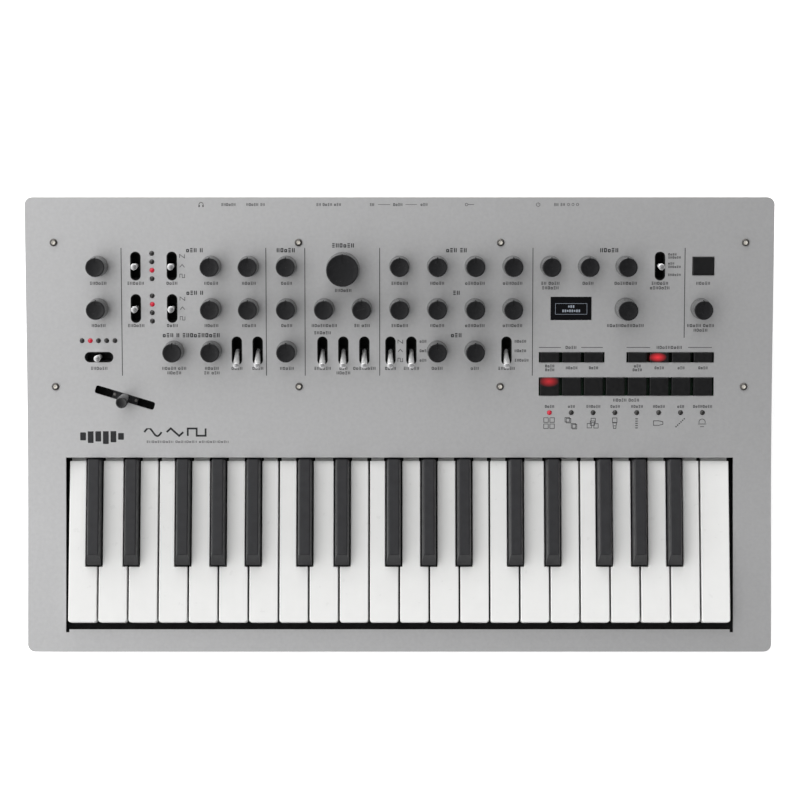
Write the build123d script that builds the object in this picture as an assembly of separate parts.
"""Compact analogue synthesizer with a bent aluminium panel and three octaves of slim keys.

Millimetres, +X to the right of the player, +Y away from the player, +Z up.  The origin is
on the surface that the feet stand on, under the middle of the panel.
"""

from build123d import *
import math
import os

# Panel sheet: a front plane, one wide bend and a steeper upper plane.
WIDTH = 500.0
DEPTH = 300.0
SHEET = 2.0
CORNER_RADIUS = 5.0
FRONT_EDGE_Z = 17.0
FRONT_SLOPE = 7.0
UPPER_SLOPE = 13.3
BEND_START_Y = -60.0
BEND_END_Y = 45.0

# Case under the panel.
FOOT_HEIGHT = 3.0
FOOT_RADIUS = 9.0
CASE_SHEET = 1.0
CASE_INSET = 4.0
FLOOR_TOP = FOOT_HEIGHT + CASE_SHEET
REAR_WOOD = 8.0
REAR_FACE_Y = DEPTH / 2 - CASE_INSET
POST_RADIUS = 4.5

# Control grid on the upper plane.
COLUMN_PITCH = 25.2
ROW_Y = {1: 105.3, 2: 77.65, 3: 50.0}
BOARD_DEPTH = 12.0
BOARD_SHEET = 1.6

# Knobs on 6 mm shafts.
KNOB_RADIUS = 7.0
KNOB_TOP_RADIUS = 6.35
KNOB_HEIGHT = 18.0
LARGE_KNOB_RADIUS = 11.3
LARGE_KNOB_TOP_RADIUS = 10.75
LARGE_KNOB_HEIGHT = 22.0
LARGE_KNOB_DROP = 1.8
ENCODER_KNOB_RADIUS = 7.4
ENCODER_KNOB_TOP_RADIUS = 6.6
ENCODER_KNOB_HEIGHT = 23.0
KNOB_LIFT = 1.0
SHAFT_RADIUS = 3.0
RUNNING_GAP = 0.05

# Bat-handle toggle switches.
TOGGLE_SLOT_LENGTH = 19.3
TOGGLE_SLOT_WIDTH = 7.0
TOGGLE_PIVOT_DEPTH = 9.0
TOGGLE_TIP_HEIGHT = 12.0
TOGGLE_THROW = 27.0

# Buttons, all on one pitch.
BUTTON_PITCH = 14.69
BUTTON_LEFT = 93.4
BUTTON_GAP = 2.3
BUTTON_BORDER = 0.5
BUTTON_PROUD = 0.9
STEP_Y = 26.5
STEP_HEIGHT = 12.5
FUNCTION_Y = 45.7
FUNCTION_HEIGHT = 7.0
SHIFT_X = 203.0
SHIFT_WIDTH = 14.8
SHIFT_HEIGHT = 12.6
BUTTON_BOARD_DEPTH = 8.0

# Keyboard: 37 slim keys from C to C.
KEY_PITCH = 20.22
WHITE_KEYS = 22
KEY_GAP = 1.2
KEY_FRONT_Y = -130.7
KEY_STEP_Y = -22.5
KEY_TAIL_Y = -4.0
KEY_FRONT_TOP = 27.2
KEY_REAR_TOP = 30.4
KEY_SKIRT = 11.0
KEY_TAIL_TOP = 26.4
KEY_TAIL_BOTTOM = 18.5
KEY_WALL = 1.6
KEY_CORNER = 1.8
KEY_EDGE = 0.6
KEY_TAIL_INSET = 0.85
PIVOT_Y = 10.0
PIVOT_Z = 22.2
PIVOT_RADIUS = 2.0
LUG_WIDTH = 8.5
BLACK_CUT_WIDTH = 11.45
BLACK_WIDTH = 9.8
BLACK_TOP_WIDTH = 7.4
BLACK_FRONT_Y = -92.6
BLACK_BACK_Y = -22.4
BLACK_RISE = 9.0
BLACK_SLOPE_RUN = 6.5

# Opening in the panel for the keys.
OPENING_HALF = 224.4
OPENING_BACK_Y = -20.4
OPENING_FRONT_Y = -135.1
RELIEF_WIDTH = 2.3
RELIEF_FRONT_Y = -137.0
LIP_DROP = 7.0

# Pitch slider.
SLIDER_X = -184.5
SLIDER_Y = 19.2
SLIDER_TILT = -16.8
SLIDER_SLOT = 41.3
SLIDER_SLOT_WIDTH = 5.5
SLIDER_SLOT_CORNER = 1.6
SLIDER_CAP_RADIUS = 4.0
SLIDER_CAP_HEIGHT = 18.0
SLIDER_LEAN = 6.0
SLIDER_SHUTTER = 17.6

# Connectors along the back.
JACK_Z = 32.0
MAIN_BOARD_Z = 20.0
BIG_JACKS_X = (-132.3, -114.1, -96.0)
SMALL_JACKS_X = (-55.0, -39.7)
MIDI_X = (-18.4, 16.3)
USB_X = 47.0
POWER_X = 92.4
DC_X = 110.0
BIG_BORE_RADIUS = 3.25
BIG_BUSHING_RADIUS = 4.6
SMALL_BORE_RADIUS = 1.8
SMALL_BUSHING_RADIUS = 3.0
DIN_RADIUS = 7.9
POWER_RADIUS = 3.8

KNOBS = [
    ("master", -8, 1),
    ("vco1_pitch", -5, 1),
    ("vco1_shape", -4, 1),
    ("mixer_vco1", -3, 1),
    ("cutoff", -1.5, 1),
    ("amp_attack", 0, 1),
    ("amp_decay", 1, 1),
    ("amp_sustain", 2, 1),
    ("amp_release", 3, 1),
    ("delay_hipass", 4, 1),
    ("delay_time", 5, 1),
    ("delay_feedback", 6, 1),
    ("tempo", -8, 2),
    ("vco2_pitch", -5, 2),
    ("vco2_shape", -4, 2),
    ("mixer_vco2", -3, 2),
    ("resonance", -2, 2),
    ("filter_eg", -1, 2),
    ("eg_attack", 0, 2),
    ("eg_decay", 1, 2),
    ("eg_sustain", 2, 2),
    ("eg_release", 3, 2),
    ("program", 6, 2),
    ("voice_depth", 8, 2),
    ("cross_mod", -6, 3),
    ("pitch_eg", -5, 3),
    ("noise", -3, 3),
    ("lfo_rate", 1, 3),
    ("lfo_int", 2, 3),
]

# Lever positions across each row, and the rest angle towards the player.
TOGGLE_ROWS = {
    1: ((-176.5, -152.2, 174.0), 0.0),
    2: ((-176.5, -152.2), 0.0),
    3: ((-109.1, -95.1, -51.7, -37.7, -23.6, -6.1, 7.9, 71.7), TOGGLE_THROW),
}
OCTAVE_TOGGLE_X = -201.6
OCTAVE_TOGGLE_Y = 45.8

LED_RADIUS = 1.5
LED_PITCH = 5.5
LED_COLUMN_X = -165.5
OCTAVE_LED_X = -201.8
OCTAVE_LED_Y = 56.6
VOICE_LED_LEFT = 100.7
VOICE_LED_Y = 9.3

DISPLAY_X = 114.8
DISPLAY_WIDTH = 27.5
DISPLAY_HEIGHT = 15.7

SCREWS_X = (-231.0, -67.5, 67.5, 231.0)
SCREWS_Y = (26.5, 120.6)
SCREW_RADIUS = 1.5

OCTAVE = 7 * KEY_PITCH
KEYS_SHIFT = -0.2
KEYS_LEFT = KEYS_SHIFT - WHITE_KEYS * KEY_PITCH / 2
WHITE_NOTES = {"c": 0, "d": 1, "e": 2, "f": 3, "g": 4, "a": 5, "b": 6}
# Each black key: the white boundary it stands on, and how far it sits from it.
BLACK_NOTES = {
    "c_sharp": (1, -2.7),
    "d_sharp": (2, 2.1),
    "f_sharp": (4, -3.7),
    "g_sharp": (5, -0.3),
    "a_sharp": (6, 3.1),
}

FRONT_RAD = math.radians(FRONT_SLOPE)
UPPER_RAD = math.radians(UPPER_SLOPE)
BEND_RADIUS = (BEND_END_Y - BEND_START_Y) / (math.sin(UPPER_RAD) - math.sin(FRONT_RAD))
BEND_START_Z = FRONT_EDGE_Z + (BEND_START_Y + DEPTH / 2) * math.tan(FRONT_RAD)
BEND_CENTRE_Y = BEND_START_Y - BEND_RADIUS * math.sin(FRONT_RAD)
BEND_CENTRE_Z = BEND_START_Z + BEND_RADIUS * math.cos(FRONT_RAD)
BEND_END_Z = BEND_CENTRE_Z - BEND_RADIUS * math.cos(UPPER_RAD)


def panel_slope(y):
    """Slope of the panel, in degrees, at a distance y from its middle."""
    if y <= BEND_START_Y:
        return FRONT_SLOPE
    if y >= BEND_END_Y:
        return UPPER_SLOPE
    return math.degrees(math.asin((y - BEND_CENTRE_Y) / BEND_RADIUS))


def panel_height(y):
    """Height of the panel's top surface at y."""
    if y <= BEND_START_Y:
        return BEND_START_Z + (y - BEND_START_Y) * math.tan(FRONT_RAD)
    if y >= BEND_END_Y:
        return BEND_END_Z + (y - BEND_END_Y) * math.tan(UPPER_RAD)
    return BEND_CENTRE_Z - math.sqrt(BEND_RADIUS**2 - (y - BEND_CENTRE_Y) ** 2)


def on_panel(x, y):
    """Local frame on the panel: origin on the surface and +Z along its normal."""
    return Location((x, y, panel_height(y)), (panel_slope(y), 0, 0))


def block(x0, x1, y0, y1, z0, z1):
    """Box from its low corner to its high corner."""
    middle = Pos((x0 + x1) / 2, (y0 + y1) / 2, (z0 + z1) / 2)
    return middle * Box(x1 - x0, y1 - y0, z1 - z0)


def centred(width, length, z0, z1):
    """Box centred on the local Z axis."""
    return block(-width / 2, width / 2, -length / 2, length / 2, z0, z1)


def rod(radius, z0, z1):
    """Cylinder on the local Z axis."""
    return Pos(0, 0, (z0 + z1) / 2) * Cylinder(radius, z1 - z0)


def rod_x(radius, x0, x1, y, z):
    """Cylinder along X."""
    return Pos((x0 + x1) / 2, y, z) * Rot(0, 90, 0) * Cylinder(radius, x1 - x0)


def rod_y(radius, x, y0, y1, z):
    """Cylinder along Y."""
    return Pos(x, (y0 + y1) / 2, z) * Rot(90, 0, 0) * Cylinder(radius, y1 - y0)


def stadium(length, width, z0, z1):
    """Slot-shaped prism whose long side runs along local X."""
    return Pos(0, 0, z0) * extrude(SlotOverall(length, width), z1 - z0)


def write_node(name, pieces):
    """Writes the pieces, each a separate solid, as one named node."""
    solids = [solid for piece in pieces for solid in piece.solids()]
    export_step(Compound(solids), f"parts/{name}.step")


def section_points(depth):
    """Corner points (y, z) of the panel's section at a depth under its top surface."""
    overrun = 10.0
    stations = (
        -DEPTH / 2 - overrun,
        BEND_START_Y,
        (BEND_START_Y + BEND_END_Y) / 2,
        BEND_END_Y,
        DEPTH / 2 + overrun,
    )
    points = []
    for y in stations:
        slope = math.radians(panel_slope(y))
        points.append((y + depth * math.sin(slope), panel_height(y) - depth * math.cos(slope)))
    return points


def section_edges(points):
    """Line, arc and line through the section's points."""
    return [
        Line(points[0], points[1]),
        ThreePointArc(points[1], points[2], points[3]),
        Line(points[3], points[4]),
    ]


def extruded_section(edges):
    """Prism of a closed section (y, z) across the whole width."""
    return extrude(Plane.YZ * make_face(Curve() + edges), amount=WIDTH / 2 + 5, both=True)


def panel_slab():
    """The bent sheet, larger than the panel in plan."""
    top = section_points(0)
    under = section_points(SHEET)
    ends = [Line(top[0], under[0]), Line(top[4], under[4])]
    return extruded_section(section_edges(top) + section_edges(under) + ends)


def space_under_panel():
    """Everything between the floor that the feet stand on and the panel's underside."""
    under = section_points(SHEET)
    front = (under[0][0], 0.0)
    back = (under[4][0], 0.0)
    ends = [Line(under[0], front), Line(front, back), Line(back, under[4])]
    return extruded_section(section_edges(under) + ends)


def knob_columns():
    """Name, x and y of every knob; the large one stands a little in front of its row."""
    places = []
    for name, column, row in KNOBS:
        drop = LARGE_KNOB_DROP if name == "cutoff" else 0.0
        places.append((name, column * COLUMN_PITCH, ROW_Y[row] - drop))
    return places


def led_places():
    """Panel position of every LED, with the depth of the board that it stands on."""
    places = []
    for row in (1, 2):
        for step in range(4):
            places.append((LED_COLUMN_X, ROW_Y[row] + (1.5 - step) * LED_PITCH, BOARD_DEPTH))
    for step in range(5):
        places.append((OCTAVE_LED_X + (step - 2) * LED_PITCH, OCTAVE_LED_Y, BOARD_DEPTH))
    for step in range(8):
        places.append((VOICE_LED_LEFT + step * BUTTON_PITCH, VOICE_LED_Y, BUTTON_BOARD_DEPTH))
    return places


def button_x(column):
    """Centre of a button column."""
    return BUTTON_LEFT + (column + 0.5) * BUTTON_PITCH


def slider_frame():
    """Local frame of the pitch slider, with +X along its slot."""
    return on_panel(SLIDER_X, SLIDER_Y) * Rot(0, 0, SLIDER_TILT)


def toggle_frames(row):
    """Local frames of a row's toggles, with +X across the lever's swing."""
    return [on_panel(x, ROW_Y[row]) for x in TOGGLE_ROWS[row][0]]


def octave_toggle_frame():
    """Local frame of the octave toggle, which swings from side to side."""
    return on_panel(OCTAVE_TOGGLE_X, OCTAVE_TOGGLE_Y) * Rot(0, 0, -90)


def all_toggle_frames():
    """Local frames of every toggle on the panel."""
    frames = [frame for row in TOGGLE_ROWS for frame in toggle_frames(row)]
    return frames + [octave_toggle_frame()]


def top_panel():
    """Bent sheet with its key opening, front lip and every hole."""
    outline = extrude(RectangleRounded(WIDTH, DEPTH, CORNER_RADIUS), 120.0)
    sheet = panel_slab() & outline
    through = (-4.0, 2.0)
    cuts = [
        block(-OPENING_HALF, OPENING_HALF, OPENING_FRONT_Y, OPENING_BACK_Y, 0, 60),
    ]
    for side in (-1, 1):
        inner = side * (OPENING_HALF - RELIEF_WIDTH)
        outer = side * OPENING_HALF
        left, right = sorted((inner, outer))
        cuts.append(block(left, right, RELIEF_FRONT_Y, OPENING_FRONT_Y + 1, 0, 60))
    for name, x, y in knob_columns():
        cuts.append(on_panel(x, y) * rod(SHAFT_RADIUS + 0.9, *through))
    for frame in all_toggle_frames():
        turned = frame * Rot(0, 0, 90)
        cuts.append(turned * stadium(TOGGLE_SLOT_LENGTH, TOGGLE_SLOT_WIDTH, *through))
    for x, y, depth in led_places():
        cuts.append(on_panel(x, y) * rod(LED_RADIUS + 0.2, *through))
    for x in SCREWS_X:
        for y in SCREWS_Y:
            cuts.append(on_panel(x, y) * rod(SCREW_RADIUS + 0.15, *through))
    slot = RectangleRounded(SLIDER_SLOT, SLIDER_SLOT_WIDTH, SLIDER_SLOT_CORNER)
    cuts.append(slider_frame() * Pos(0, 0, through[0]) * extrude(slot, through[1] - through[0]))
    cuts.append(on_panel(DISPLAY_X, ROW_Y[2]) * centred(DISPLAY_WIDTH, DISPLAY_HEIGHT, *through))
    cuts.append(on_panel(SHIFT_X, ROW_Y[1]) * centred(SHIFT_WIDTH, SHIFT_HEIGHT, *through))
    for first, last, y, height in (
        (0, 7, STEP_Y, STEP_HEIGHT),
        (0, 2, FUNCTION_Y, FUNCTION_HEIGHT),
        (4, 7, FUNCTION_Y, FUNCTION_HEIGHT),
    ):
        middle = (button_x(first) + button_x(last)) / 2
        width = (last - first + 1) * BUTTON_PITCH
        cuts.append(on_panel(middle, y) * centred(width, height, *through))
    sheet = sheet - cuts
    lip_half = OPENING_HALF - RELIEF_WIDTH
    lip_top = panel_height(OPENING_FRONT_Y) - 0.5
    lip_back = OPENING_FRONT_Y
    lip = block(-lip_half, lip_half, lip_back - SHEET, lip_back, lip_top - LIP_DROP, lip_top)
    return [sheet + lip]


def screw_posts():
    """Threaded posts that stand on the case floor and reach the panel's underside."""
    posts = []
    for x in SCREWS_X:
        for y in SCREWS_Y:
            posts.append(Pos(x, y, 0) * rod(POST_RADIUS, FLOOR_TOP - 0.5, 90))
    return posts


def bottom_case():
    """Folded steel tray with side and front walls, open at the back for the wood."""
    width = WIDTH - 2 * CASE_INSET
    depth = DEPTH - 2 * CASE_INSET
    under = space_under_panel()
    outside = Pos(0, 0, FOOT_HEIGHT) * extrude(RectangleRounded(width, depth, 4.0), 90)
    inner_width = width - 2 * CASE_SHEET
    inner_depth = depth - 2 * CASE_SHEET
    inside = Pos(0, 0, FLOOR_TOP) * extrude(RectangleRounded(inner_width, inner_depth, 3.0), 90)
    back = block(-inner_width / 2, inner_width / 2, 100, DEPTH / 2, FLOOR_TOP, 100)
    tray = outside - inside - back
    for post in screw_posts():
        tray = tray + post
    tray = tray & under
    holes = []
    for x in SCREWS_X:
        for y in SCREWS_Y:
            holes.append(on_panel(x, y) * rod(SCREW_RADIUS + 0.05, -10, 1))
    return [tray - holes]


def rear_panel():
    """Solid wood board between the side walls, drilled for the connectors."""
    half = WIDTH / 2 - CASE_INSET - CASE_SHEET - 0.2
    front = REAR_FACE_Y - REAR_WOOD
    board = block(-half, half, front, REAR_FACE_Y, FLOOR_TOP, 90) & space_under_panel()
    span = (front - 1, REAR_FACE_Y + 1)
    holes = [rod_y(BIG_BUSHING_RADIUS + 0.3, x, *span, JACK_Z) for x in BIG_JACKS_X]
    holes += [rod_y(SMALL_BUSHING_RADIUS + 0.3, x, *span, JACK_Z) for x in SMALL_JACKS_X]
    holes += [rod_y(DIN_RADIUS + 0.3, x, *span, JACK_Z) for x in MIDI_X]
    holes.append(rod_y(POWER_RADIUS + 0.4, POWER_X, *span, JACK_Z))
    holes.append(rod_y(5.4, DC_X, *span, JACK_Z))
    holes.append(block(USB_X - 6.4, USB_X + 6.4, *span, JACK_Z - 5.9, JACK_Z + 5.9))
    return [board - holes]


def white_top(y):
    """Height of the white keys' top surface at y."""
    rise = (KEY_REAR_TOP - KEY_FRONT_TOP) / (KEY_STEP_Y - KEY_FRONT_Y)
    return KEY_FRONT_TOP + (y - KEY_FRONT_Y) * rise


def white_bottom(y):
    """Height of the white keys' lower edge at y."""
    front = KEY_FRONT_TOP - KEY_SKIRT
    return front + (y - KEY_FRONT_Y) * (KEY_TAIL_BOTTOM - front) / (KEY_TAIL_Y - KEY_FRONT_Y)


def side_prism(points, x0, x1):
    """Prism of a side outline (y, z) from x0 to x1."""
    outline = make_face(Polyline(*points, close=True))
    return Pos(x0, 0, 0) * extrude(Plane.YZ * outline, x1 - x0)


def hinge_lug(x):
    """Tail of a key, bored for the pivot rod."""
    lug = block(
        x - LUG_WIDTH / 2,
        x + LUG_WIDTH / 2,
        KEY_TAIL_Y - 1,
        PIVOT_Y + 5,
        KEY_TAIL_BOTTOM,
        KEY_TAIL_TOP,
    )
    return lug


def pivot_bore(x):
    """Bore of a key's tail."""
    return rod_x(PIVOT_RADIUS + RUNNING_GAP, x - LUG_WIDTH, x + LUG_WIDTH, PIVOT_Y, PIVOT_Z)


def black_centres():
    """Centre of every black key."""
    centres = []
    for octave in range(3):
        for boundary, offset in BLACK_NOTES.values():
            centres.append(KEYS_LEFT + octave * OCTAVE + boundary * KEY_PITCH + offset)
    return centres


def shank_span(left, right):
    """What the neighbouring black keys leave of a white key between left and right."""
    half = BLACK_CUT_WIDTH / 2
    for centre in black_centres():
        if left < centre + half < right:
            left = centre + half
        if left < centre - half < right:
            right = centre - half
    return left, right


def white_key(index):
    """Hollow white key with its shank, tail and pivot bore."""
    left = KEYS_LEFT + index * KEY_PITCH + KEY_GAP / 2
    right = left + KEY_PITCH - KEY_GAP
    shank_left, shank_right = shank_span(left, right)
    middle = (shank_left + shank_right) / 2
    cut_y = BLACK_FRONT_Y - 0.9
    points = [
        (KEY_FRONT_Y, white_bottom(KEY_FRONT_Y)),
        (KEY_FRONT_Y, white_top(KEY_FRONT_Y)),
        (KEY_STEP_Y, white_top(KEY_STEP_Y)),
        (KEY_STEP_Y, KEY_TAIL_TOP),
        (KEY_TAIL_Y, KEY_TAIL_TOP),
        (KEY_TAIL_Y, KEY_TAIL_BOTTOM),
    ]
    key = side_prism(points, left, right)
    if shank_left > left:
        key = key - block(left - 1, shank_left, cut_y, 0, 0, 60)
    if shank_right < right:
        key = key - block(shank_right, right + 1, cut_y, 0, 0, 60)
    key = key - block(left - 1, shank_left + KEY_TAIL_INSET, KEY_STEP_Y, 0, 0, 60)
    key = key - block(shank_right - KEY_TAIL_INSET, right + 1, KEY_STEP_Y, 0, 0, 60)
    corners = key.edges().filter_by(Axis.Z).group_by(Axis.Y)[0]
    key = fillet(corners, KEY_CORNER)
    top = key.faces().sort_by(Axis.Z)[-1]
    rims = [edge for edge in top.edges() if edge.center().Y < KEY_STEP_Y - 0.5]
    key = fillet(rims, KEY_EDGE)
    inner_top = 1.8
    head = [
        (KEY_FRONT_Y + KEY_WALL, 0),
        (KEY_FRONT_Y + KEY_WALL, white_top(KEY_FRONT_Y) - inner_top),
        (cut_y - KEY_WALL, white_top(cut_y) - inner_top),
        (cut_y - KEY_WALL, 0),
    ]
    shank = [
        (cut_y - 2 * KEY_WALL, 0),
        (cut_y - 2 * KEY_WALL, white_top(cut_y) - inner_top),
        (KEY_STEP_Y - KEY_WALL, white_top(KEY_STEP_Y) - inner_top),
        (KEY_STEP_Y - KEY_WALL, 0),
    ]
    key = key - side_prism(head, left + KEY_WALL, right - KEY_WALL)
    key = key - side_prism(shank, shank_left + KEY_WALL, shank_right - KEY_WALL)
    return key + hinge_lug(middle) - pivot_bore(middle)


def black_key(centre):
    """Hollow black key with a tapered top and a sloped nose."""
    half = BLACK_WIDTH / 2
    top_half = BLACK_TOP_WIDTH / 2
    nose = BLACK_FRONT_Y + BLACK_SLOPE_RUN
    base_lift = 0.8

    def ring(front, half_width, lift):
        corners = []
        for y, side in ((front, -1), (front, 1), (BLACK_BACK_Y, 1), (BLACK_BACK_Y, -1)):
            corners.append((centre + side * half_width, y, white_top(y) + lift))
        return make_face(Polyline(*corners, close=True))

    cap = loft([ring(BLACK_FRONT_Y, half, base_lift), ring(nose, top_half, BLACK_RISE)], ruled=True)
    top = cap.faces().sort_by(Axis.Z)[-1]
    rims = [edge for edge in top.edges() if edge.center().Y < BLACK_BACK_Y - 0.5]
    cap = fillet(rims, 0.9)
    lower = [
        (BLACK_FRONT_Y, KEY_TAIL_BOTTOM),
        (BLACK_FRONT_Y, white_top(BLACK_FRONT_Y) + base_lift),
        (BLACK_BACK_Y, white_top(BLACK_BACK_Y) + base_lift),
        (BLACK_BACK_Y, KEY_TAIL_TOP),
        (KEY_TAIL_Y, KEY_TAIL_TOP),
        (KEY_TAIL_Y, KEY_TAIL_BOTTOM),
    ]
    key = side_prism(lower, centre - half, centre + half) + cap
    cavity = [
        (BLACK_FRONT_Y + 3, 0),
        (BLACK_FRONT_Y + 3, white_top(BLACK_FRONT_Y) - 2),
        (nose + 3, white_top(nose) + 5.5),
        (BLACK_BACK_Y - KEY_WALL, white_top(BLACK_BACK_Y) + 5.5),
        (BLACK_BACK_Y - KEY_WALL, 0),
    ]
    key = key - side_prism(cavity, centre - 2.8, centre + 2.8)
    return key + hinge_lug(centre) - pivot_bore(centre)


def keys_of_note(note):
    """Every key that sounds the same note name."""
    if note in WHITE_NOTES:
        count = 4 if note == "c" else 3
        return [white_key(WHITE_NOTES[note] + 7 * octave) for octave in range(count)]
    boundary, offset = BLACK_NOTES[note]
    first = KEYS_LEFT + boundary * KEY_PITCH + offset
    return [black_key(first + octave * OCTAVE) for octave in range(3)]


def key_frame():
    """Key chassis: base plate, pivot rod and its webs, guides, felt and contact board."""
    plate_top = FLOOR_TOP + 1.2
    plate = block(-223.5, 223.5, -133.0, PIVOT_Y + 9, FLOOR_TOP, plate_top)
    webs = []
    boundaries = (3, 7, 10, 14, 17, 21)
    places = [KEYS_LEFT + step * KEY_PITCH for step in boundaries] + [-222.7, 222.7]
    for x in places:
        web = block(x - 0.7, x + 0.7, PIVOT_Y - 11, PIVOT_Y + 7, plate_top, PIVOT_Z + 4)
        webs.append(web - rod_x(PIVOT_RADIUS + 0.02, x - 2, x + 2, PIVOT_Y, PIVOT_Z))
    pivot = rod_x(PIVOT_RADIUS, -224.0, 224.0, PIVOT_Y, PIVOT_Z)
    guides = []
    for index in range(WHITE_KEYS):
        x = KEYS_LEFT + (index + 0.5) * KEY_PITCH
        guides.append(block(x - 1.25, x + 1.25, -122, -119, plate_top, 17.0))
    guide_y = BLACK_FRONT_Y + 4.5
    for x in black_centres():
        guides.append(block(x - 1.25, x + 1.25, guide_y, guide_y + 3, plate_top, 19.3))
    felt = block(-221.0, 221.0, -116, -110, plate_top, 9.3)
    contact_board = block(-221.0, 221.0, -70, -40, plate_top, plate_top + 1.6)
    domes = []
    for index in range(WHITE_KEYS):
        left = KEYS_LEFT + index * KEY_PITCH + KEY_GAP / 2
        shank_left, shank_right = shank_span(left, left + KEY_PITCH - KEY_GAP)
        middle = (shank_left + shank_right) / 2
        domes.append(Pos(middle, -55, 0) * Cone(3.2, 2.2, 3.5).moved(Pos(0, 0, plate_top + 3.35)))
    for x in black_centres():
        domes.append(Pos(x, -55, 0) * Cone(3.2, 2.2, 3.5).moved(Pos(0, 0, plate_top + 3.35)))
    return [plate, pivot, felt, contact_board] + webs + guides + domes


def knob(radius, top_radius, height, pointer):
    """Moulded knob and its metal shaft, in the panel's local frame."""
    shoulder = 0.5
    profile = Polyline(
        (SHAFT_RADIUS + 0.02, KNOB_LIFT),
        (radius, KNOB_LIFT),
        (top_radius, height - shoulder),
        (top_radius - shoulder, height),
        (0, height),
        (0, height - 4.0),
        (SHAFT_RADIUS + 0.02, height - 4.0),
        close=True,
    )
    body = revolve(Plane.XZ * make_face(profile), Axis.Z)
    if pointer:
        body = body - block(-0.45, 0.45, radius * 0.4, radius, height - 0.6, height + 1)
        body = body - block(-0.45, 0.45, top_radius - 0.4, radius, height - 4, height + 1)
    shaft = rod(SHAFT_RADIUS, -9.5, height - 4.1)
    return body, shaft


def toggle_lever():
    """Bat handle with its pivot drum, upright in the local frame and swinging about X."""
    base_radius = 1.15
    tip_radius = 2.25
    tip_centre = TOGGLE_TIP_HEIGHT - tip_radius
    diagonal = tip_radius * math.sqrt(0.5)
    outline = [
        Line((0, -TOGGLE_PIVOT_DEPTH), (base_radius, -TOGGLE_PIVOT_DEPTH)),
        Line((base_radius, -TOGGLE_PIVOT_DEPTH), (tip_radius, tip_centre)),
        ThreePointArc(
            (tip_radius, tip_centre),
            (diagonal, tip_centre + diagonal),
            (0, TOGGLE_TIP_HEIGHT),
        ),
        Line((0, TOGGLE_TIP_HEIGHT), (0, -TOGGLE_PIVOT_DEPTH)),
    ]
    bat = revolve(Plane.XZ * make_face(Curve() + outline), Axis.Z)
    drum = rod_x(2.0, -2.3, 2.3, 0, -TOGGLE_PIVOT_DEPTH)
    pin_hole = rod_x(0.75 + RUNNING_GAP, -3, 3, 0, -TOGGLE_PIVOT_DEPTH)
    return bat + drum - pin_hole


def leaning_lever(frame, lean):
    """Toggle lever leaning about its pivot pin by an angle towards local -Y."""
    pivot = Pos(0, 0, -TOGGLE_PIVOT_DEPTH)
    return frame * pivot * Rot(lean, 0, 0) * Pos(0, 0, TOGGLE_PIVOT_DEPTH) * toggle_lever()


def toggle_housing():
    """Switch body with its swing cavity, and the pivot pin across it."""
    body = centred(8.0, 20.0, -BOARD_DEPTH, -2.4) - centred(5.3, 16.4, -11.4, 0)
    return body + rod_x(0.75, -4, 4, 0, -TOGGLE_PIVOT_DEPTH)


def button_cap(width, height, bottom):
    """Button cap, held under the panel by a ledge along its two long sides."""
    cap = centred(width, height, -5.0, BUTTON_PROUD)
    rims = cap.faces().sort_by(Axis.Z)[-1].edges()
    cap = fillet(rims, 0.35)
    ledge = centred(width, height + 1.8, -3.4, -2.4)
    stem = centred(3.0, 3.0, bottom, -4.9)
    return cap + ledge + stem


def tact_switch(board_depth, stem_bottom):
    """Small switch under a button, just clear of the pressed cap."""
    gap = 1.1
    body_top = -board_depth + 1.0
    body = centred(6.0, 6.0, -board_depth, body_top)
    plunger = rod(1.4, body_top, stem_bottom - gap)
    return body + plunger


def pot_body(bushing_top):
    """Potentiometer or encoder body with the bore that its shaft turns in."""
    body = centred(9.6, 11.0, -BOARD_DEPTH, -5.6) + rod(3.7, -5.7, bushing_top)
    return body - rod(SHAFT_RADIUS + RUNNING_GAP, -9.8, 0)


def function_columns():
    """Button columns of the edit trio and the sequencer quartet."""
    return (0, 1, 2, 4, 5, 6, 7)


def circuit_boards():
    """Control board, button board and main board, with everything soldered to them."""
    pieces = []
    plane = on_panel(0, ROW_Y[2])
    low, high = -42.0, 34.5
    board = block(-238, 238, low, high, -BOARD_DEPTH - BOARD_SHEET, -BOARD_DEPTH)
    pieces.append(plane * board)
    for name, x, y in knob_columns():
        pieces.append(on_panel(x, y) * pot_body(-2.4))
    for frame in all_toggle_frames():
        pieces.append(frame * toggle_housing())
    for column in function_columns():
        pieces.append(on_panel(button_x(column), FUNCTION_Y) * tact_switch(BOARD_DEPTH, -9.0))
    pieces.append(on_panel(SHIFT_X, ROW_Y[1]) * tact_switch(BOARD_DEPTH, -9.0))
    half_row = (ROW_Y[1] - ROW_Y[2]) / 2
    for y in (ROW_Y[2] - half_row, ROW_Y[2] + half_row):
        for column in (-9, -5.5, -2.5, 0.5, 3.5, 6.5, 9):
            spacer = rod(2.4, -BOARD_DEPTH, -SHEET)
            pieces.append(on_panel(column * COLUMN_PITCH, y) * spacer)
    middle = (button_x(0) + button_x(7)) / 2
    button_frame = on_panel(middle, STEP_Y - 8.5)
    button_board = block(-63, 63, -16, 14, -BUTTON_BOARD_DEPTH - 1.8, -BUTTON_BOARD_DEPTH - 0.2)
    pieces.append(button_frame * button_board)
    for column in range(8):
        frame = on_panel(button_x(column), STEP_Y)
        pieces.append(frame * tact_switch(BUTTON_BOARD_DEPTH, -5.0))
    for x in (-58, 58):
        pieces.append(button_frame * Pos(x, -7, 0) * rod(2.4, -BUTTON_BOARD_DEPTH - 0.2, -2.3))
    pieces.append(slider_frame() * slider_guide())
    pieces += main_board()
    return pieces


def slider_guide():
    """Track that the pitch slider's carriage runs in."""
    outside = centred(60.0, 12.0, -9.3, -2.4)
    return outside - centred(56.0, 7.4, -8.4, 0)


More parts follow.
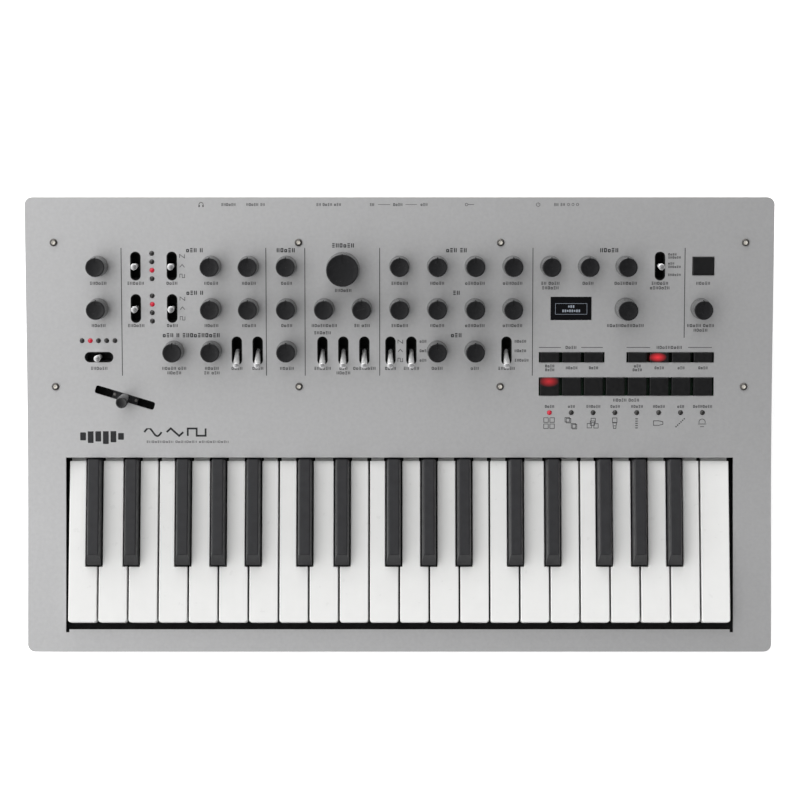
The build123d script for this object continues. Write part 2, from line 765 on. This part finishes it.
def main_board():
    """Main board on its spacers, with the voice circuits and the power regulators."""
    top = MAIN_BOARD_Z + BOARD_SHEET
    board = block(-205, 205, 42, 137, MAIN_BOARD_Z, top)
    for x in SCREWS_X[1:3]:
        board = board - Pos(x, SCREWS_Y[1], 0) * rod(POST_RADIUS + 0.8, 0, 60)
    pieces = [board]
    for x in (-195, 0, 195):
        for y in (50, 130):
            pieces.append(Pos(x, y, 0) * rod(3.0, FLOOR_TOP, MAIN_BOARD_Z))
    for voice in range(4):
        left = -170 + voice * 62
        for column in range(3):
            x = left + column * 18
            pieces.append(block(x, x + 10, 62, 70, top, top + 1.8))
            pieces.append(block(x, x + 6, 78, 88, top, top + 1.6))
            pieces.append(Pos(x + 12, 96, 0) * rod(3.0, top, top + 7))
    pieces.append(block(105, 125, 60, 80, top, top + 2.2))
    pieces.append(block(140, 160, 95, 107, top, top + 9))
    return pieces


def tall_jack(x, half, bushing, bore, depth, flats):
    """Round socket: moulded body, threaded bushing and nut."""
    inner = REAR_FACE_Y - REAR_WOOD - 0.3
    mouth = DEPTH / 2 - 0.8
    body = block(x - half, x + half, inner - 20, inner, MAIN_BOARD_Z + BOARD_SHEET, JACK_Z + half)
    body = body + rod_y(bushing, x, inner - 1, mouth, JACK_Z)
    body = body - rod_y(bore, x, mouth - depth, mouth + 1, JACK_Z)
    turn = Pos(x, REAR_FACE_Y, JACK_Z) * Rot(-90, 0, 0)
    nut = turn * extrude(RegularPolygon(flats / 2, 6, major_radius=False), 2.2)
    nut = nut - rod_y(bushing + 0.02, x, REAR_FACE_Y - 1, mouth + 1, JACK_Z)
    return [body, nut]


def din_socket(x):
    """Five-pin round socket with its shell groove."""
    inner = REAR_FACE_Y - REAR_WOOD - 0.3
    mouth = REAR_FACE_Y - 0.4
    body = block(x - 9.8, x + 9.8, inner - 13, inner, MAIN_BOARD_Z + BOARD_SHEET, JACK_Z + 9.8)
    body = body + rod_y(DIN_RADIUS, x, inner - 1, mouth, JACK_Z)
    groove = rod_y(6.9, x, mouth - 8, mouth + 1, JACK_Z) - rod_y(5.9, x, mouth - 9, mouth + 2, JACK_Z)
    body = body - groove
    for angle in (0, 45, 90, 135, 180):
        px = x + 4.4 * math.cos(math.radians(angle))
        pz = JACK_Z - 4.4 * math.sin(math.radians(angle))
        body = body - rod_y(0.8, px, mouth - 8, mouth + 1, pz)
    return body


def usb_socket():
    """Square data socket: metal shell round a moulded tongue."""
    inner = REAR_FACE_Y - REAR_WOOD - 0.3
    mouth = REAR_FACE_Y + 1.0
    x0, x1 = USB_X - 6.0, USB_X + 6.0
    z0, z1 = JACK_Z - 5.4, JACK_Z + 5.4
    shell = block(x0, x1, inner - 8, mouth, z0, z1)
    shell = shell - block(USB_X - 4.3, USB_X + 4.3, inner - 7, mouth + 1, JACK_Z - 3.9, JACK_Z + 3.9)
    foot = block(x0, x1, inner - 8, inner, MAIN_BOARD_Z + BOARD_SHEET, z0)
    tongue = block(USB_X - 2.8, USB_X + 2.8, inner - 7.0, mouth - 1.5, JACK_Z - 1.6, JACK_Z + 1.6)
    return [shell + foot, tongue]


def dc_socket():
    """Power inlet with its centre pin."""
    inner = REAR_FACE_Y - REAR_WOOD - 0.3
    mouth = REAR_FACE_Y + 0.6
    board_top = MAIN_BOARD_Z + BOARD_SHEET
    body = block(DC_X - 4.5, DC_X + 4.5, inner - 12, inner, board_top, JACK_Z + 5.0)
    body = body + rod_y(5.0, DC_X, inner - 1, mouth, JACK_Z)
    body = body - rod_y(2.85, DC_X, mouth - 12, mouth + 1, JACK_Z)
    pin = rod_y(1.0, DC_X, mouth - 12, mouth - 1, JACK_Z)
    return [body, pin]


def rear_jacks():
    """Every connector along the back."""
    pieces = []
    for x in BIG_JACKS_X:
        pieces += tall_jack(x, 7.5, BIG_BUSHING_RADIUS, BIG_BORE_RADIUS, 29.0, 12.0)
    for x in SMALL_JACKS_X:
        pieces += tall_jack(x, 4.5, SMALL_BUSHING_RADIUS, SMALL_BORE_RADIUS, 15.0, 8.0)
    for x in MIDI_X:
        pieces.append(din_socket(x))
    pieces += usb_socket()
    pieces += dc_socket()
    board_top = MAIN_BOARD_Z + BOARD_SHEET
    inner = REAR_FACE_Y - REAR_WOOD
    pieces.append(block(POWER_X - 5, POWER_X + 5, inner - 18, inner - 9, board_top, JACK_Z + 5))
    return pieces


def power_button():
    """Round standby button with the collar that keeps it behind the wood."""
    inner = REAR_FACE_Y - REAR_WOOD
    cap = rod_y(POWER_RADIUS, POWER_X, inner - 3, REAR_FACE_Y + 2.0, JACK_Z)
    rim = cap.faces().sort_by(Axis.Y)[-1].edges()
    cap = fillet(rim, 0.5)
    collar = rod_y(POWER_RADIUS + 1.2, POWER_X, inner - 2.0, inner - 0.5, JACK_Z)
    plunger = rod_y(1.5, POWER_X, inner - 7.2, inner - 2.9, JACK_Z)
    return [cap + collar + plunger]


def pitch_lever():
    """Pitch slider: carriage, shutter strip, stem and cap."""
    carriage = centred(9.0, 6.6, -7.6, -4.6)
    shutter = centred(SLIDER_SHUTTER, 6.6, -4.7, -3.4)
    for side in (-1, 1):
        shutter = shutter + Pos(side * 7.4, 0, 0) * rod(1.0, -3.5, -2.9)
    stem = rod(1.7, -4.6, 3.0)
    outline = Polyline(
        (0, 1.6),
        (3.1, 1.6),
        (3.6, 4.0),
        (SLIDER_CAP_RADIUS, 12.0),
        (SLIDER_CAP_RADIUS, SLIDER_CAP_HEIGHT - 0.6),
        (SLIDER_CAP_RADIUS - 0.6, SLIDER_CAP_HEIGHT),
        (0, SLIDER_CAP_HEIGHT),
        close=True,
    )
    cap = revolve(Plane.XZ * make_face(outline), Axis.Z)
    foot = Pos(0, 0, -4.0)
    leaning = foot * Rot(SLIDER_LEAN, 0, 0) * foot.inverse() * (stem + cap)
    return [slider_frame() * (carriage + shutter + leaning)]


def display_module():
    """Window, display glass and carrier."""
    frame = on_panel(DISPLAY_X, ROW_Y[2])
    window = centred(DISPLAY_WIDTH - 0.3, DISPLAY_HEIGHT - 0.3, -2.0, -0.3)
    glass = centred(34.0, 19.0, -4.4, -2.4)
    carrier = centred(30.0, 15.0, -BOARD_DEPTH, -4.4)
    return [frame * window, frame * glass, frame * carrier]


def panel_leds():
    """Round LEDs with domed tips."""
    leds = []
    for x, y, depth in led_places():
        base = -depth - (0.2 if depth == BUTTON_BOARD_DEPTH else 0.0)
        lens = rod(LED_RADIUS, base, 0.0)
        dome = Pos(0, 0, -0.9) * Sphere(1.75)
        tip = dome & rod(LED_RADIUS, -0.2, 2.0)
        leds.append(on_panel(x, y) * (lens + tip))
    return leds


def socket_screw(head_radius, head_height, length):
    """Button-head screw with a hexagon socket, its head standing on local z = 0."""
    head = rod(head_radius, 0, head_height)
    head = fillet(head.faces().sort_by(Axis.Z)[-1].edges(), head_height * 0.7)
    socket = Pos(0, 0, head_height - 0.9) * extrude(RegularPolygon(1.2, 6), 2)
    return head + rod(SCREW_RADIUS, -length, 0.1) - socket


def screws():
    """Panel screws, rear board screws and the screws of the feet."""
    pieces = []
    for x in SCREWS_X:
        for y in SCREWS_Y:
            pieces.append(on_panel(x, y) * Pos(0, 0, 0.02) * socket_screw(2.55, 1.3, 9.0))
    for x in (-236, 236):
        for z in (16, 56):
            turn = Pos(x, REAR_FACE_Y, z) * Rot(-90, 0, 0)
            head = rod(3.0, 0, 1.4)
            pieces.append(turn * fillet(head.faces().sort_by(Axis.Z)[-1].edges(), 0.9))
    return pieces


def rubber_feet():
    """Four round feet."""
    feet = []
    for x in (-218.0, 218.0):
        for y in (-122.0, 122.0):
            foot = rod(FOOT_RADIUS, 0, FOOT_HEIGHT)
            foot = chamfer(foot.faces().sort_by(Axis.Z)[0].edges(), 0.8)
            feet.append(Pos(x, y, 0) * foot)
    return feet


def knob_size(name):
    """Radius at the foot and at the top, height and pointer of a named knob."""
    if name == "cutoff":
        return LARGE_KNOB_RADIUS, LARGE_KNOB_TOP_RADIUS, LARGE_KNOB_HEIGHT, True
    if name == "program":
        return ENCODER_KNOB_RADIUS, ENCODER_KNOB_TOP_RADIUS, ENCODER_KNOB_HEIGHT, False
    return KNOB_RADIUS, KNOB_TOP_RADIUS, KNOB_HEIGHT, True


def build():
    """Writes every node."""
    os.makedirs("parts", exist_ok=True)
    write_node("top_panel", top_panel())
    write_node("bottom_case", bottom_case())
    write_node("rear_panel", rear_panel())
    write_node("key_frame", key_frame())
    write_node("circuit_boards", circuit_boards())
    write_node("rear_jacks", rear_jacks())
    write_node("display_module", display_module())
    write_node("panel_leds", panel_leds())
    write_node("screws", screws())
    write_node("rubber_feet", rubber_feet())
    write_node("power_button", power_button())
    write_node("pitch_lever", pitch_lever())
    for name, x, y in knob_columns():
        frame = on_panel(x, y)
        write_node(f"knob_{name}", [frame * piece for piece in knob(*knob_size(name))])
    for row, (places, lean) in TOGGLE_ROWS.items():
        levers = [leaning_lever(frame, lean) for frame in toggle_frames(row)]
        write_node(f"toggles_row_{row}", levers)
    write_node("toggle_octave", [leaning_lever(octave_toggle_frame(), 0.0)])
    shift = button_cap(SHIFT_WIDTH - 2 * BUTTON_BORDER, SHIFT_HEIGHT - BUTTON_BORDER, -9.0)
    write_node("shift_button", [on_panel(SHIFT_X, ROW_Y[1]) * shift])
    wide = BUTTON_PITCH - BUTTON_GAP
    function_cap = button_cap(wide, FUNCTION_HEIGHT - BUTTON_BORDER, -9.0)
    places = [on_panel(button_x(column), FUNCTION_Y) for column in function_columns()]
    write_node("function_buttons", [place * function_cap for place in places])
    step_cap = button_cap(wide, STEP_HEIGHT - BUTTON_BORDER, -5.0)
    places = [on_panel(button_x(column), STEP_Y) for column in range(8)]
    write_node("step_buttons", [place * step_cap for place in places])
    for note in list(WHITE_NOTES) + list(BLACK_NOTES):
        write_node(f"key_{note}", keys_of_note(note))


build()
